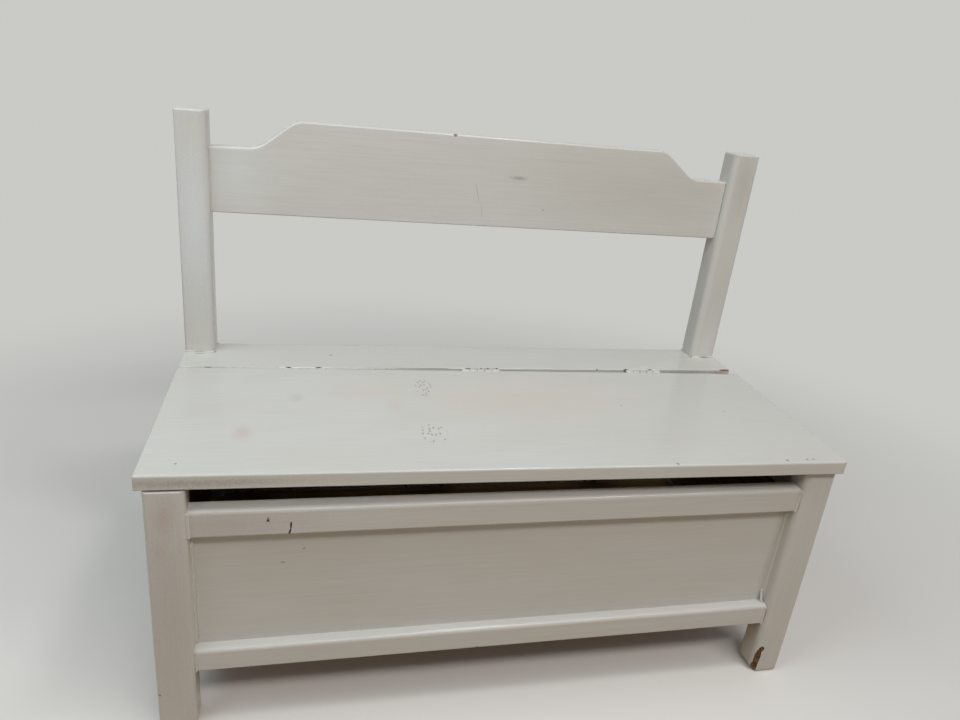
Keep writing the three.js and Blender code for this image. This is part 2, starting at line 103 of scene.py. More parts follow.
# %% Place the camera
YAW, PITCH, ROLL = 14.635, 21.860, 6.089
bpy.ops.object.camera_add(location=(-0.22499, -0.77541, 0.67619))
camera = bpy.context.object
turn = Matrix.Rotation(math.radians(-YAW), 4, "Z")
turn = turn @ Matrix.Rotation(math.radians(90 - PITCH), 4, "X")
turn = turn @ Matrix.Rotation(math.radians(ROLL), 4, "Z")
camera.rotation_euler = turn.to_euler()
camera.data.sensor_fit = "HORIZONTAL"
camera.data.sensor_width = 36
camera.data.lens = 27.78
bpy.context.scene.camera = camera
bpy.context.scene.view_settings.view_transform = "Standard"
print("camera at", tuple(round(value, 3) for value in camera.location), "lens", camera.data.lens)

# %% [markdown]
# ## Nodes and colours
# A material is a small graph of nodes. One helper adds a node, sets its sockets and links it, so a
# material reads as a list of steps, and four short ones build on it. Colours are written as sRGB hex
# values, as a paint chart gives them, and one function turns them to the linear values that the
# sockets take.


# %% Helpers for materials
def colour(code):
    """Turns an sRGB hex colour to linear red, green, blue and alpha."""
    parts = [int(code[i:i + 2], 16) / 255 for i in (1, 3, 5)]
    linear = [p / 12.92 if p <= 0.04045 else ((p + 0.055) / 1.055) ** 2.4 for p in parts]
    return (*linear, 1.0)


def add(tree, kind, inputs=None, **settings):
    """Adds a node, sets its properties, and sets or links its inputs."""
    made = tree.nodes.new("ShaderNode" + kind)
    for key, value in settings.items():
        setattr(made, key, value)
    for key, value in (inputs or {}).items():
        if isinstance(value, bpy.types.NodeSocket):
            tree.links.new(value, made.inputs[key])
        else:
            made.inputs[key].default_value = value
    return made


def maths(tree, operation, *values):
    """The result of a Math node with these values in its sockets."""
    return add(tree, "Math", dict(enumerate(values)), operation=operation).outputs[0]


def blend(tree, amount, first, second):
    """Mixes two colours, each a hex value or a socket. An amount of 0 gives the first."""
    pair = [tone if isinstance(tone, bpy.types.NodeSocket) else colour(tone) for tone in (first, second)]
    return add(tree, "Mix", {0: amount, 6: pair[0], 7: pair[1]}, data_type="RGBA").outputs[2]


def stretched_noise(tree, place, along, length, width, detail, rough=0.5):
    """Noise that is drawn out along one axis. Its waves' length and width are in millimetres."""
    sizes = [1 / (width * MM)] * 3
    sizes["XYZ".index(along)] = 1 / (length * MM)
    mapped = add(tree, "Mapping", {"Vector": place, "Scale": sizes})
    return add(tree, "TexNoise", {"Vector": mapped.outputs[0], "Scale": 1.0, "Detail": detail,
                                  "Roughness": rough}).outputs[0]


def blank_material(name):
    """A new material, its emptied graph, and the object coordinates in that graph."""
    material = bpy.data.materials.new(name)
    material.use_nodes = True
    tree = material.node_tree
    tree.nodes.clear()
    return material, tree, add(tree, "TexCoord").outputs["Object"]


print("mid grey in linear light:", round(colour("#808080")[0], 3))

# %% [markdown]
# ## Studio
# Three lamps stand in for the room of the photograph. A cool one high on the left lights the left of
# the seat and of the backrest. The strongest, a long tube high in front of the bench, opens up the
# fronts and lightens their upper arrises. A small one overhead lights the right of the seat. The world
# adds a weak even fill. The floor is plain and pale. Seen by the camera it fades into the background
# far away, so there is no horizon, while near the bench it keeps the shadow. For the light that it
# throws back up on the fronts it is a warm wood tone.


# %% Lamps and world
def soft_lamp(name, place, target, size, power, tint):
    """A rectangular area lamp that faces a point. Lengths are in metres, the power in watts."""
    bpy.ops.object.light_add(type="AREA", location=place)
    lamp = bpy.context.object
    lamp.name = name
    lamp.rotation_euler = (Vector(target) - lamp.location).to_track_quat("-Z", "Y").to_euler()
    lamp.data.shape = "RECTANGLE"
    lamp.data.size, lamp.data.size_y = size
    lamp.data.energy = power
    lamp.data.color = colour(tint)[:3]
    print(name, power, "W")


soft_lamp("left_window", (-0.8, -0.3, 1.3), (0, 0.1, 0.4), (0.8, 0.8), 6.4, "#F0FAFF")
soft_lamp("front_tube", (0.4, -1.35, 1.85), (0.1, 0, 0.3), (1.8, 0.12), 16.5, "#FFFAF7")
soft_lamp("ceiling_light", (0.35, -0.4, 1.9), (0.1, 0, 0.3), (0.3, 0.3), 4.8, "#FFFFFF")

BACKGROUND = "#CACAC7"
world = bpy.data.worlds.new("pale_room")
bpy.context.scene.world = world
world.use_nodes = True
tree = world.node_tree
tree.nodes.clear()
path = add(tree, "LightPath")
seen = maths(tree, "MAXIMUM", path.outputs["Is Camera Ray"], path.outputs["Is Glossy Ray"])
seen = maths(tree, "MAXIMUM", seen, path.outputs["Is Transmission Ray"])
fill = add(tree, "Background", {"Color": colour("#E9ECEF"), "Strength": 0.21})
shown = add(tree, "Background", {"Color": colour(BACKGROUND), "Strength": 1.0})
both = add(tree, "MixShader", {0: seen, 1: fill.outputs[0], 2: shown.outputs[0]})
add(tree, "OutputWorld", {0: both.outputs[0]})

# %% The floor
FADE_FROM, FADE_TO = 0.38, 1.45
bpy.ops.object.select_all(action="DESELECT")
bpy.ops.mesh.primitive_plane_add(size=120, location=(0, 0, -0.0002))
floor = bpy.context.object
floor.name = "floor"
plain, tree, place = blank_material("plain_floor")
path = add(tree, "LightPath")
seen = maths(tree, "MAXIMUM", path.outputs["Is Camera Ray"], path.outputs["Is Glossy Ray"])
matte = add(tree, "BsdfDiffuse", {"Color": blend(tree, seen, "#B49A7C", "#F3F1EC")})
reach = add(tree, "VectorMath", {0: place}, operation="LENGTH")
fade = add(tree, "MapRange", {"Value": reach.outputs["Value"], "From Min": FADE_FROM, "From Max": FADE_TO},
           interpolation_type="SMOOTHSTEP")
fade = maths(tree, "MULTIPLY", fade.outputs[0], seen)
glow = add(tree, "Emission", {"Color": colour(BACKGROUND), "Strength": 1.0})
both = add(tree, "MixShader", {0: fade, 1: matte.outputs[0], 2: glow.outputs[0]})
add(tree, "OutputMaterial", {0: both.outputs[0]})
floor.data.materials.append(plain)
floor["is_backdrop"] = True
print("floor", tuple(floor.dimensions[:2]), "m")

# %% [markdown]
# ## Paint
# The real finish is a satin alkyd paint, brushed on by hand over pine. It dries to an off-white with a
# soft sheen. The eye sees it by three things: fine brush lines along each board, about a millimetre
# apart; the wood's growth rings, which telegraph through as long low ridges some millimetres apart; and
# slightly darker, yellower patches where the coat is thin or hands have been. All three are noise
# textures on object coordinates, stretched along the board, so one function makes the paint for boards
# that run along X, Y or Z. Marks of wear are small soft-edged spots at places read from the photograph.
# Other spots are painted light and shade: broad soft patches that lighten or darken part of a board,
# thin near-white painted highlights along arrises, and painted shade and reflections in the seat joint.


# %% Marks of wear, painted shade and painted light
RIM = 1.5


def mark(at, size, tint, amount, depth=0.0, turn=0, soft=0.25):
    """One mark: centre and half sizes in millimetres, how opaque, how deep, its turn about Y in degrees, and
    how wide its soft edge is: 0.25 is crisp, and with 1.4 it fades from the middle outwards."""
    return dict(at=at, size=size, tint=tint, amount=amount, depth=depth, turn=turn, soft=soft)


def spot(tree, place, ragged, at, size, turn=0, soft=0.25):
    """A mask that is 1 inside a ragged ellipsoid and falls to 0 over its soft edge, at the rim."""
    local = add(tree, "Mapping", {
        "Vector": place,
        "Location": Vector(at) * MM,
        "Rotation": (0, math.radians(turn), 0),
        "Scale": Vector(size) * MM,
    }, vector_type="TEXTURE")
    reach = add(tree, "VectorMath", {0: local.outputs[0]}, operation="LENGTH")
    rough = maths(tree, "MULTIPLY_ADD", ragged, 0.9, reach.outputs["Value"])
    mask = add(tree, "MapRange", {"Value": rough, "From Min": RIM, "From Max": RIM - soft},
               interpolation_type="SMOOTHSTEP")
    return mask.outputs[0]


print("a mark is a mask, a tint and a depth:", mark((0, 0, 0), (2, 2, 2), "#8E8C84", 0.5))


# %% The paint function
def brushed_paint(name, along, marks=(), dents=()):
    """Off-white satin paint, brushed along one axis. Dents are (centre, half sizes, spacing)."""
    material, tree, place = blank_material(name)
    brush = stretched_noise(tree, place, along, 70, 2.0, 3.0, 0.6)
    rings = stretched_noise(tree, place, along, 260, 7.0, 2.0)
    patches = stretched_noise(tree, place, along, 150, 60, 2.0)
    ragged = stretched_noise(tree, place, along, 2.2, 2.2, 3.0, 0.6)

    thin = add(tree, "MapRange", {"Value": patches, "From Min": 0.2, "From Max": 0.8, "To Max": 0.8})
    base = blend(tree, thin.outputs[0], "#D7D7D2", "#D1CFC7")
    line = add(tree, "MapRange", {"Value": brush, "From Min": 0.6, "From Max": 0.3, "To Max": 0.24})
    base = blend(tree, line.outputs[0], base, "#C0BEB6")

    height = maths(tree, "MULTIPLY_ADD", rings, 2.6, brush)
    for row in marks:
        mask = spot(tree, place, ragged, row["at"], row["size"], row["turn"], row["soft"])
        base = blend(tree, maths(tree, "MULTIPLY", mask, row["amount"]), base, row["tint"])
        if row["depth"]:
            height = maths(tree, "MULTIPLY_ADD", mask, -row["depth"], height)
    for centre, size, spacing in dents:
        inside = spot(tree, place, ragged, centre, size)
        grid = add(tree, "Mapping", {"Vector": place, "Scale": [1 / (step * MM) for step in spacing]})
        cells = add(tree, "TexVoronoi", {"Vector": grid.outputs[0], "Scale": 1.0, "Randomness": 0.85},
                    voronoi_dimensions="2D")
        pits = add(tree, "MapRange", {"Value": cells.outputs["Distance"], "From Min": 0.3, "From Max": 0.1})
        some = add(tree, "SeparateColor", {0: cells.outputs["Color"]})
        kept = maths(tree, "GREATER_THAN", some.outputs[0], 0.4)
        pits = maths(tree, "MULTIPLY", maths(tree, "MULTIPLY", pits.outputs[0], kept), inside)
        base = blend(tree, maths(tree, "MULTIPLY", pits, 0.6), base, "#7C7870")
        height = maths(tree, "MULTIPLY_ADD", pits, -9.0, height)

    bump = add(tree, "Bump", {"Height": height, "Distance": 0.00007})
    sheen = add(tree, "MapRange", {"Value": patches, "To Min": 0.15, "To Max": 0.27})
    shader = add(tree, "BsdfPrincipled", {"Base Color": base, "Roughness": sheen.outputs[0],
                                          "Normal": bump.outputs[0], "IOR": 1.5})
    add(tree, "OutputMaterial", {0: shader.outputs[0]})
    return material


paint = {axis: brushed_paint(f"brushed_satin_paint_{axis.lower()}", axis) for axis in "XYZ"}
print("paints:", [material.name for material in paint.values()])

# %% [markdown]
# ## Bare wood, plywood and steel
# Where the paint has chipped, old pine shows, browned by dirt, and the panels are bare aged pine on
# their inner faces. The cleats are clean planed pine, and the bottom of the box is thin birch plywood.
# Planed pine gives the eye straight yellow grain with darker late-wood lines about three millimetres
# apart. The hinges are zinc plated steel under the same paint, and the screws are bright steel.


# %% Wood and metal materials
def planed_wood(name, along, pale, dark, spacing, roughness):
    """Straight-grained wood. The spacing is that of its late-wood lines, in millimetres."""
    material, tree, place = blank_material(name)
    grain = stretched_noise(tree, place, along, spacing * 45, spacing, 4.0)
    late = add(tree, "MapRange", {"Value": grain, "From Min": 0.35, "From Max": 0.65})
    tone = blend(tree, late.outputs[0], pale, dark)
    bump = add(tree, "Bump", {"Height": grain, "Distance": 0.0003})
    shader = add(tree, "BsdfPrincipled", {"Base Color": tone, "Roughness": roughness,
                                          "Normal": bump.outputs[0]})
    add(tree, "OutputMaterial", {0: shader.outputs[0]})
    return material


def bright_steel(name, tint, roughness):
    """Turned or stamped steel with fine tool marks, about a quarter of a millimetre apart."""
    material, tree, place = blank_material(name)
    marks = add(tree, "TexNoise", {"Vector": place, "Scale": 1 / (0.25 * MM), "Detail": 2.0})
    stain = add(tree, "TexNoise", {"Vector": place, "Scale": 1 / (6 * MM), "Detail": 3.0})
    tone = blend(tree, stain.outputs[0], tint, "#77756F")
    rough = add(tree, "MapRange", {"Value": stain.outputs[0], "To Min": roughness, "To Max": roughness + 0.2})
    bump = add(tree, "Bump", {"Height": marks.outputs[0], "Distance": 0.00001})
    shader = add(tree, "BsdfPrincipled", {"Base Color": tone, "Metallic": 1.0,
                                          "Roughness": rough.outputs[0], "Normal": bump.outputs[0]})
    add(tree, "OutputMaterial", {0: shader.outputs[0]})
    return material


dirty_pine = planed_wood("dirty_bare_pine", "Z", "#8E6A4C", "#4C3424", 0.7, 0.85)
inside_pine = {axis: planed_wood(f"aged_bare_pine_{axis.lower()}", axis, "#9A7A4F", "#7B5A36", 3.0, 0.75)
               for axis in "XY"}
clean_pine = {axis: planed_wood(f"planed_pine_{axis.lower()}", axis, "#B9975F", "#96713F", 3.0, 0.7)
              for axis in "XY"}
birch_ply = planed_wood("birch_plywood", "X", "#B39362", "#9C7B4D", 4.0, 0.65)
screw_steel = bright_steel("bright_screw_steel", "#B9B8B2", 0.3)
print("woods:", dirty_pine.name, birch_ply.name, "steel:", screw_steel.name)

# %% [markdown]
# ## Tools for boards
# Every board starts as a cube at its size and place. Its edges are then rounded with a Bevel modifier
# that reads a weight on each edge, so one board can have a soft front arris and a crisp back one. Cuts
# across the board give it enough vertices for a slow wobble of a few tenths of a millimetre, which is
# what sanding and thick paint do to real boards and what makes highlights wander along their edges.


# %% Helpers that shape a board
def only(*pieces):
    """Selects these pieces alone and makes the first one active."""
    bpy.ops.object.select_all(action="DESELECT")
    for piece in pieces:
        piece.select_set(True)
    bpy.context.view_layer.objects.active = pieces[0]


def block(name, low, high):
    """A cuboid between two corners in millimetres, with its place in its mesh."""
    bpy.ops.object.select_all(action="DESELECT")
    low, high = Vector(low) * MM, Vector(high) * MM
    bpy.ops.mesh.primitive_cube_add(size=1, location=(low + high) / 2)
    piece = bpy.context.object
    piece.name = name
    piece.data.name = name
    piece.scale = high - low
    bpy.ops.object.transform_apply(location=True, rotation=True, scale=True)
    return piece


def pick(piece, kind, test):
    """Goes to edit mode with only those vertices, edges or faces selected that pass the test."""
    only(piece)
    bpy.ops.object.mode_set(mode="EDIT")
    bpy.ops.mesh.select_mode(type=kind)
    bpy.ops.mesh.select_all(action="DESELECT")
    bpy.ops.object.mode_set(mode="OBJECT")
    mesh = piece.data
    if kind == "VERT":
        for vertex in mesh.vertices:
            vertex.select = test(vertex.co / MM)
    elif kind == "EDGE":
        for edge in mesh.edges:
            ends = [mesh.vertices[i].co / MM for i in edge.vertices]
            edge.select = test((ends[0] + ends[1]) / 2, (ends[1] - ends[0]).normalized())
    else:
        for face in mesh.polygons:
            face.select = test(face.center / MM, face.normal)
    bpy.ops.object.mode_set(mode="EDIT")


def apply_modifier(piece, kind, **settings):
    """Adds a modifier with its settings and applies it."""
    only(piece)
    modifier = piece.modifiers.new(kind.lower(), kind)
    for key, value in settings.items():
        setattr(modifier, key, value)
    bpy.ops.object.modifier_apply(modifier=modifier.name)


def round_arrises(piece, radii, segments=4):
    """Rounds edges over. Each row of radii is a test of an edge's middle and direction, and a radius."""
    widest = max(radius for _, radius in radii)
    mesh = piece.data
    weights = mesh.attributes.new("bevel_weight_edge", "FLOAT", "EDGE")
    for edge in mesh.edges:
        ends = [mesh.vertices[i].co / MM for i in edge.vertices]
        middle, direction = (ends[0] + ends[1]) / 2, (ends[1] - ends[0]).normalized()
        for test, radius in radii:
            if test(middle, direction):
                weights.data[edge.index].value = radius / widest
                break
    apply_modifier(piece, "BEVEL", width=widest * MM, segments=segments, limit_method="WEIGHT",
                   use_clamp_overlap=False)
    mesh.attributes.remove(mesh.attributes["bevel_weight_edge"])


def cut_at(piece, axis, places):
    """Cuts the piece's faces at these places along one axis, in millimetres."""
    across = Vector([float(letter == axis) for letter in "XYZ"])
    pick(piece, "VERT", lambda at: True)
    for place in places:
        bpy.ops.mesh.select_all(action="SELECT")
        bpy.ops.mesh.bisect(plane_co=across * (place * MM), plane_no=across)
    bpy.ops.object.mode_set(mode="OBJECT")


def cut_across(piece, axis, step):
    """Cuts the piece into slices of about one step, in millimetres, along one axis."""
    spread = [vertex.co["XYZ".index(axis)] / MM for vertex in piece.data.vertices]
    low, high = min(spread), max(spread)
    count = max(1, round((high - low) / step))
    cut_at(piece, axis, [low + (high - low) * number / count for number in range(1, count)])


def cut_out(piece, cutter, **settings):
    """Takes a cutter's shape out of a piece and removes the cutter."""
    apply_modifier(piece, "BOOLEAN", object=cutter, operation="DIFFERENCE", solver="EXACT", **settings)
    bpy.data.objects.remove(cutter)


wobble_texture = bpy.data.textures.new("hand_sanded", "CLOUDS")
wobble_texture.noise_scale = 0.035
wobble_texture.noise_depth = 1
wobble_texture.noise_basis = "IMPROVED_PERLIN"


def wobble(piece, depth):
    """Lowers the surface by up to the depth, in millimetres, in slow waves."""
    apply_modifier(piece, "DISPLACE", texture=wobble_texture, texture_coords="LOCAL", strength=depth * MM,
                   mid_level=1.0)


def smooth(piece, angle=35):
    """Shades curves smooth and keeps the flats flat."""
    only(piece)
    bpy.ops.object.shade_smooth_by_angle(angle=math.radians(angle))
    apply_modifier(piece, "WEIGHTED_NORMAL", keep_sharp=True, weight=60)


def hand_in(piece, material, body, slot, *nodes):
    """Gives a finished piece its material, the body that it rides on and the nodes it stands for."""
    if not piece.data.materials:
        piece.data.materials.append(material)
    else:
        piece.data.materials[0] = material
    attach(piece, body)
    if nodes:
        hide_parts(*nodes)
    corners = [Vector(corner) / MM for corner in piece.bound_box]
    size = [round(max(c[i] for c in corners) - min(c[i] for c in corners), 1) for i in range(3)]
    print(piece.name, size, "mm,", len(piece.data.polygons), "faces")


def node_box(node):
    """The corners of a CAD node's box in millimetres."""
    low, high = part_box(node)
    return Vector(low) / MM, Vector(high) / MM


def ends_along(axis):
    """A test for edges that run along one axis."""
    index = "XYZ".index(axis)
    return lambda middle, direction: abs(direction[index]) > 0.9


print("board tools ready, wobble waves are", wobble_texture.noise_scale / MM, "mm long")

# %% [markdown]
# ## Front legs
# Each leg is a bar of 38 by 30 mm with well-rounded arrises, the inner front one the softest, and feet
# that are rounded all round. The top end stops a hair below the lid, and the front face leans back a
# little towards it. One function makes every leg and post, because only their arrises, their wear and
# their painted shade and light differ.


# %% Model the legs
def upright(name, node, radii, top_radius, foot_radii, drop=0.0):
    """A leg or post. The radii are of its inner front, outer front and back arrises. The foot's are of its
    inner edge and of the others."""
    low, high = node_box(node)
    high.z -= drop
    piece = block(name, low, high)
    inner = high.x if low.x < 0 else low.x
    inner_front, outer_front, back = radii
    rows = [
        (lambda m, d: abs(d.z) > 0.9 and m.y > low.y + 1, back),
        (lambda m, d: abs(d.z) > 0.9 and abs(m.x - inner) < 1, inner_front),
        (lambda m, d: abs(d.z) > 0.9, outer_front),
        (lambda m, d: m.z > high.z - 1, top_radius),
        (lambda m, d: abs(m.x - inner) < 1, foot_radii[0]),
        (lambda m, d: True, foot_radii[1]),
    ]
    round_arrises(piece, rows, 6)
    cut_across(piece, "Z", 9)
    cut_across(piece, "X", 9)
    return piece


LEG_DROP, TOP_SET_BACK, LEG_HEIGHT = 0.5, 2.4, 289.0
for side in ("left", "right"):
    radii, foot = ((6.0, 4.5, 3.5), (7.0, 7.0)) if side == "left" else ((8.0, 5.5, 3.5), (12.0, 4.5))
    leg = upright(f"leg_{side}", f"front_leg_{side}", radii, 1.4, foot, LEG_DROP)
    middle_y = sum(vertex.co.y for vertex in leg.data.vertices) / len(leg.data.vertices)
    for vertex in leg.data.vertices:
        if vertex.co.y < middle_y:
            vertex.co.y += TOP_SET_BACK * MM * (vertex.co.z / (LEG_HEIGHT * MM)) ** 2
    wobble(leg, 0.45)
    if side == "right":
        right_leg = leg
    else:
        smooth(leg)
        # The first mark, a broad darker patch down the whole front of the leg, is painted shade.
        leg_marks = [
            mark((-345, -162, 150), (40, 10, 190), "#B9AEA4", 0.45, 0, 0, 1.2),
            mark((-361.6, -162.8, 50.3), (1.6, 3, 1.6), "#6F6A61", 0.7, 1.0),
            mark((-346, -161.0, 262), (15, 6, 32), "#BFA49E", 0.5, 0, 10, 1.4),
            mark((-352, -161.0, 225), (9, 6, 18), "#BFA49E", 0.3, 0, 0, 1.2),
            mark((-330, -162.8, 236), (4, 3, 0.6), "#9A948A", 0.5, 1.0, 0),
        ]
        left_leg_paint_and_shade = brushed_paint("left_leg_paint_and_shade", "Z", leg_marks)
        hand_in(leg, left_leg_paint_and_shade, FRAME, "painted_wood", "front_leg_left")

# %% [markdown]
# ## Chip in the right foot
# A knock has taken the paint and a splinter of wood off the inner arris of the right foot. A chip is a
# hollow, so it is made as a whittler would: a lumpy cutter is pressed into the wood and taken away
# with a Boolean modifier, and the cut keeps the cutter's bare-wood material.


# %% Cut the chip
def scoop(piece, centre, size, turn, material, seed):
    """Cuts a lumpy hollow, and returns how many faces it adds. Centre and half sizes are in millimetres,
    the turn in degrees."""
    bpy.ops.object.select_all(action="DESELECT")
    bpy.ops.mesh.primitive_ico_sphere_add(subdivisions=3, radius=1, location=Vector(centre) * MM,
                                          rotation=[math.radians(angle) for angle in turn])
    cutter = bpy.context.object
    cutter.scale = Vector(size) * MM
    bpy.ops.object.transform_apply(location=False, rotation=False, scale=True)
    chance = random.Random(seed)
    for vertex in cutter.data.vertices:
        vertex.co *= 1 + chance.uniform(-0.14, 0.14)
    bpy.ops.object.transform_apply(location=True, rotation=True, scale=True)
    cutter.data.materials.append(material)
    before = len(piece.data.polygons)
    cut_out(piece, cutter, material_mode="TRANSFER")
    return len(piece.data.polygons) - before


right_leg.data.materials.append(paint["Z"])
added = scoop(right_leg, (331.0, -161.8, 22), (4.2, 3.2, 17), (0, 4, 0), dirty_pine, 3)
added += scoop(right_leg, (333.6, -162.6, 37), (3.4, 2.2, 4.5), (0, 10, 0), dirty_pine, 4)
added += scoop(right_leg, (330.6, -160.8, 9), (4.2, 3.4, 7), (0, 0, 0), dirty_pine, 5)
smooth(right_leg)
right_leg_marks = [
    mark((327.0, -157.6, 86), (1.6, 1.3, 13), "#5A534A", 0.75, 0, 0),
    mark((327.0, -157.6, 243), (2.0, 1.4, 10), "#6E675C", 0.6, 0, 0),
]
right_leg_paint = brushed_paint("right_leg_paint", "Z", right_leg_marks)
hand_in(right_leg, right_leg_paint, FRAME, "painted_wood", "front_leg_right")
print("faces added by the chips:", added)

# %% [markdown]
# ## Back posts
# The posts run from the floor to the top of the backrest. They are a little slimmer than the legs and
# rounded the same way, with soft tops that have been painted over many times. The right one leans
# outwards a little.

# %% Model the posts
SEAT_Z = 306.0
LEAN, POST_RISE = 1.6, 290.0
# On the left post the broad cool pale patch is painted light. On the right post the darker patch at the top
# is painted shade, the pale patch lower down is painted light, and the small dark dent is wear.
post_painted_light_shade_and_wear = {
    "left": [mark((-348, 136, 470), (40, 10, 170), "#E3E8EA", 0.8, 0, 0, 1.2)],
    "right": [
        mark((352, 137, 560), (26, 8, 70), "#B5ADA2", 0.6, 0, 0, 1.4),
        mark((352, 137, 330), (26, 8, 60), "#E4E5E0", 0.7, 0, 0, 1.4),
        mark((331.5, 140, 588), (1.0, 2.0, 6), "#8A857B", 0.6, 1.0, 0, 0.4),
    ],
}
for side in ("left", "right"):
    post = upright(f"post_{side}", f"back_post_{side}", (8.0, 3.5, 4.0), 2.6, (3.5, 3.5))
    wobble(post, 0.45)
    if side == "right":
        for vertex in post.data.vertices:
            vertex.co.x += LEAN * MM * max(0.0, vertex.co.z - SEAT_Z * MM) / (POST_RISE * MM)
    smooth(post)
    finish = brushed_paint(f"{side}_post_paint_and_painted_light", "Z", post_painted_light_shade_and_wear[side])
    hand_in(post, finish, FRAME, "painted_wood", f"back_post_{side}")

# %% [markdown]
# ## Rails
# Eight rails tie the legs and posts together. On the outer face their upper arris is rounded well over
# and catches the light; the other arrises are only eased. Each rail runs a touch into the legs at its
# ends, as its tenons do, so that no light shows through the joints. The front bottom rail rises a
# little to the right.

# %% Model the rails
RED = "#4E141C"
# The first mark, a broad darker patch over the left of the top rail's front, is painted shade.
front_rail_marks_and_shade = [
    mark((-300, -157, 250), (130, 8, 40), "#BBAEA4", 0.5, 0, 0, 1.4),
    mark((-254.4, -157.3, 252.0), (1.5, 2, 1.7), RED, 0.9),
    mark((-254.4, -157.3, 254.1), (0.7, 2, 1.6), RED, 0.8),
    mark((-233.1, -157.3, 245.4), (1.0, 2, 4.6), RED, 1.0, 0, 2),
    mark((-234.3, -157.3, 238.2), (1.0, 2, 4.8), RED, 1.0, 0, 16),
]
rail_paint = brushed_paint("front_rail_paint_and_shade", "X", front_rail_marks_and_shade)
low_marks = [
    mark((-32.3, -157.3, 73.4), (2.2, 2, 1.6), "#5A4632", 0.8, 1.5),
    mark((63.3, -157.3, 72.9), (1.8, 2, 1.4), "#5A4632", 0.8, 1.5),
]
low_rail_paint = brushed_paint("low_rail_paint", "X", low_marks)
TENON, ROOT = 15.3, 6.0
LIFT, TILT = 1.0, 0.9
for node in sorted(frame["nodes"]):
    if "_rail" not in node:
        continue
    low, high = node_box(node)
    runs = "Y" if node.startswith("side") else "X"
    index = "XYZ".index(runs)
    low[index] += TENON - ROOT
    high[index] -= TENON - ROOT
    piece = block(node.replace("_rail", "_board"), low, high)
    front = node.startswith("front")
    if runs == "X":
        outer = low.y if front else high.y
        is_outer = lambda m, outer=outer: abs(m.y - outer) < 1
    else:
        outer = low.x if low.x < 0 else high.x
        is_outer = lambda m, outer=outer: abs(m.x - outer) < 1
    long_way = ends_along(runs)
    top = high.z
    rows = [
        (lambda m, d: long_way(m, d) and is_outer(m) and m.z > top - 1, 5.0 if front else 4.0),
        (lambda m, d: long_way(m, d) and is_outer(m), 2.2),
        (lambda m, d: long_way(m, d), 1.5),
    ]
    round_arrises(piece, rows, 5)
    cut_across(piece, runs, 9)
    wobble(piece, 0.35)
    if node == "front_bottom_rail":
        for vertex in piece.data.vertices:
            lift = LIFT + TILT * vertex.co.x / (high.x * MM)
            vertex.co.z += lift * MM * (1.0 if vertex.co.z > (low.z + high.z) / 2 * MM else 0.5)
    smooth(piece)
    worn_and_shaded = {"front_top_rail": rail_paint, "front_bottom_rail": low_rail_paint}
    hand_in(piece, worn_and_shaded.get(node, paint[runs]), FRAME, "painted_wood", node)

# %% [markdown]
# ## Panels
# A thin board fills each side of the box. It lies behind the rails, so its edges are out of sight, and
# all that shows is its broad face with the brush lines running along it. Its inner face is bare wood:
# those faces whose normal points to the middle of the box.

# %% Model the panels
scuffs = [
    mark((-241, -145.4, 193.5), (3.0, 2, 0.9), "#827C73", 0.6, 1.0, 10),
    mark((-220.6, -145.4, 209.2), (2.2, 2, 0.9), "#827C73", 0.55, 1.0, -20),
]
panel_paint = brushed_paint("front_panel_paint", "X", scuffs)
POINTS_IN = 60
for node in sorted(frame["nodes"]):
    if not node.endswith("panel") and "_panel_" not in node:
        continue
    low, high = node_box(node)
    runs = "Y" if node.startswith("side") else "X"
    piece = block(node.replace("panel", "infill"), low, high)
    round_arrises(piece, [(lambda m, d: True, 0.8)], 2)
    cut_across(piece, runs, 12)
    cut_across(piece, "Z", 12)
    wobble(piece, 0.4)
    smooth(piece)
    finish = panel_paint if node == "front_panel" else paint[runs]
    piece.data.materials.append(finish)
    piece.data.materials.append(inside_pine[runs])
    inward = -(low + high) / 2
    for face in piece.data.polygons:
        face.material_index = int(face.normal.x * inward.x + face.normal.y * inward.y > POINTS_IN)
    hand_in(piece, finish, FRAME, "painted_wood", node)

# %% [markdown]
# ## Cleats and bottom board
# Inside, four planed cleats are screwed to the bottom rails and a plywood board lies on them. The board
# is notched round the legs and posts: it starts as a block that ends at the notches, and its front and
# back are then extruded between them.

# %% Model the inside of the box
for node in ("cleat_front", "cleat_back", "cleat_left", "cleat_right"):
    low, high = node_box(node)
    runs = "X" if high.x - low.x > high.y - low.y else "Y"
    piece = block(node.replace("cleat_", "batten_"), low, high)
    round_arrises(piece, [(lambda m, d: True, 1.0)], 2)
    cut_across(piece, runs, 20)
    wobble(piece, 0.2)
    smooth(piece)
    hand_in(piece, clean_pine[runs], FRAME, "bare_wood", node)

low, high = node_box("bottom_board")
LEG_SIDE, LEG_BACK, POST_NOTCH_Y, CLEARANCE = 326.2, -132.5, 135.4, 0.3
leg_x, leg_y, post_y = LEG_SIDE - CLEARANCE, LEG_BACK, POST_NOTCH_Y
base = block("base_board", (low.x, leg_y, low.z), (high.x, post_y, high.z))
cut_at(base, "X", (-leg_x, leg_x))
for sign, reach in ((-1, leg_y - low.y), (1, high.y - post_y)):
    pick(base, "FACE", lambda at, n: n.y * sign > 0.9 and abs(at.x) < leg_x - 1)
    bpy.ops.mesh.extrude_region_move(TRANSFORM_OT_translate={"value": (0, sign * reach * MM, 0)})
    bpy.ops.object.mode_set(mode="OBJECT")
apply_modifier(base, "BEVEL", width=0.5 * MM, segments=2, limit_method="ANGLE")
smooth(base)
hand_in(base, birch_ply, FRAME, "plywood", "bottom_board")

# %% [markdown]
# ## Backrest
# The backrest is one board with a raised middle. Its outline is straight lines with eased bends, so it
# is drawn as a joiner marks it: cut lines across a plain board, the ends of its top edge pushed down,
# the left one a little further, and the four bends rounded with an edge bevel before the arrises are
# eased.

